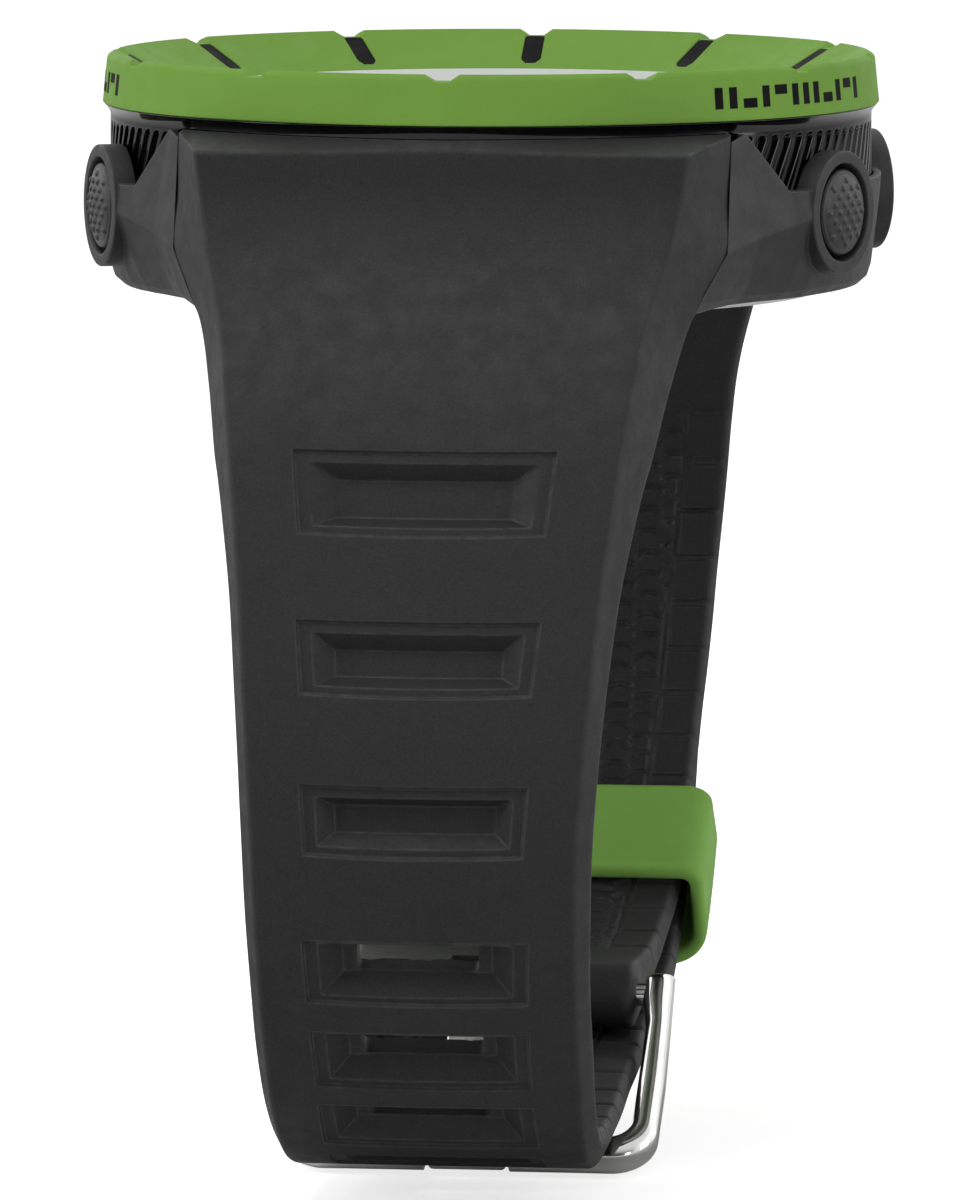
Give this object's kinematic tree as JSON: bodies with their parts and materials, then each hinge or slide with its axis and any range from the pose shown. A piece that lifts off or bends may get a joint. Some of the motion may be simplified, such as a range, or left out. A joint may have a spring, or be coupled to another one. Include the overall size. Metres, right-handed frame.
{
  "type": "wrist dive computer",
  "caption": "Round wrist dive computer, buckled closed: notched green bezel, ribbed black case in a grey resin shell, side push buttons, resin straps with steel buckle and green keeper.",
  "frame": {"origin": "the case axis at the outer face of the case back, where the case rests on the wrist", "axes": "+Z out through the crystal, +X to the 3 o'clock side, +Y to the 12 o'clock strap"},
  "size_m": [0.0508, 0.0719, 0.0711],
  "materials": {
    "bezel_green": "moulded matte green with black paint in the notches",
    "keeper_green": "matte green soft resin",
    "strap_resin": "matte dark grey resin with a fine moulded grain",
    "shell_resin": "matte dark grey resin",
    "case_gloss": "gloss black",
    "button_resin": "matte dark grey, dotted grip face",
    "polished_steel": "polished steel",
    "satin_steel": "satin steel",
    "seal_rubber": "matte black",
    "crystal": "clear mineral glass",
    "lcd": "reflective grey-green display glass",
    "display_ring": "pale satin print",
    "module_plastic": "natural moulded plastic",
    "board": "green solder mask",
    "brass": "plain",
    "backlight": "pale phosphor film"
  },
  "bodies": {
    "root": {"bezel_ring": "bezel_green", "crystal": "crystal", "crystal_gasket": "seal_rubber", "display_ring": "display_ring", "case_middle": "case_gloss", "case_shell": "shell_resin", "case_back": "satin_steel", "case_back_seal": "seal_rubber", "module_frame": "module_plastic", "circuit_board": "board", "battery": "satin_steel", "battery_clip": "brass", "alarm_buzzer": "brass", "depth_sensor": "satin_steel", "backlight_panel": "backlight", "lcd_display": "lcd", "display_connector_12h": "seal_rubber", "display_connector_6h": "seal_rubber", "button_4h_spring": "polished_steel", "button_2h_spring": "polished_steel", "button_10h_spring": "polished_steel", "button_8h_spring": "polished_steel", "strap_long": "strap_resin", "strap_short": "strap_resin", "spring_bar_6h": "polished_steel", "spring_bar_12h": "polished_steel", "buckle_pin": "polished_steel"},
    "button_4h": {"button_4h_pusher": "button_resin", "button_4h_seal": "seal_rubber", "button_4h_clip": "polished_steel"},
    "button_2h": {"button_2h_pusher": "button_resin", "button_2h_seal": "seal_rubber", "button_2h_clip": "polished_steel"},
    "button_10h": {"button_10h_pusher": "button_resin", "button_10h_seal": "seal_rubber", "button_10h_clip": "polished_steel"},
    "button_8h": {"button_8h_pusher": "button_resin", "button_8h_seal": "seal_rubber", "button_8h_clip": "polished_steel"},
    "buckle_frame": {"buckle_frame": "polished_steel"},
    "buckle_tongue": {"buckle_tongue": "polished_steel"},
    "keeper": {"keeper_loop": "keeper_green"}
  },
  "joints": [
    {"name": "button_4h_press", "type": "slide", "parent": "root", "child": "button_4h", "axis": [-0.9135, 0.4067, 0], "range_m": [0, 0.0011], "deforming": ["button_4h_spring"]},
    {"name": "button_2h_press", "type": "slide", "parent": "root", "child": "button_2h", "axis": [-0.9135, -0.4067, 0], "range_m": [0, 0.0011], "deforming": ["button_2h_spring"]},
    {"name": "button_10h_press", "type": "slide", "parent": "root", "child": "button_10h", "axis": [0.9135, -0.4067, 0], "range_m": [0, 0.0011], "deforming": ["button_10h_spring"]},
    {"name": "button_8h_press", "type": "slide", "parent": "root", "child": "button_8h", "axis": [0.9135, 0.4067, 0], "range_m": [0, 0.0011], "deforming": ["button_8h_spring"]},
    {"name": "buckle_frame_hinge", "type": "hinge", "parent": "root", "child": "buckle_frame", "pos_m": [0, 0.0008, -0.0441], "axis": [1, 0, 0], "range_deg": [0, 3]},
    {"name": "buckle_tongue_hinge", "type": "hinge", "parent": "buckle_frame", "child": "buckle_tongue", "pos_m": [0, 0.0008, -0.0441], "axis": [1, 0, 0], "range_deg": [0, 3]},
    {"name": "keeper_slide", "type": "hinge", "parent": "root", "child": "keeper", "pos_m": [0, 0.0033, -0.018], "axis": [1, 0, 0], "range_deg": [-6, 14]}
  ]
}
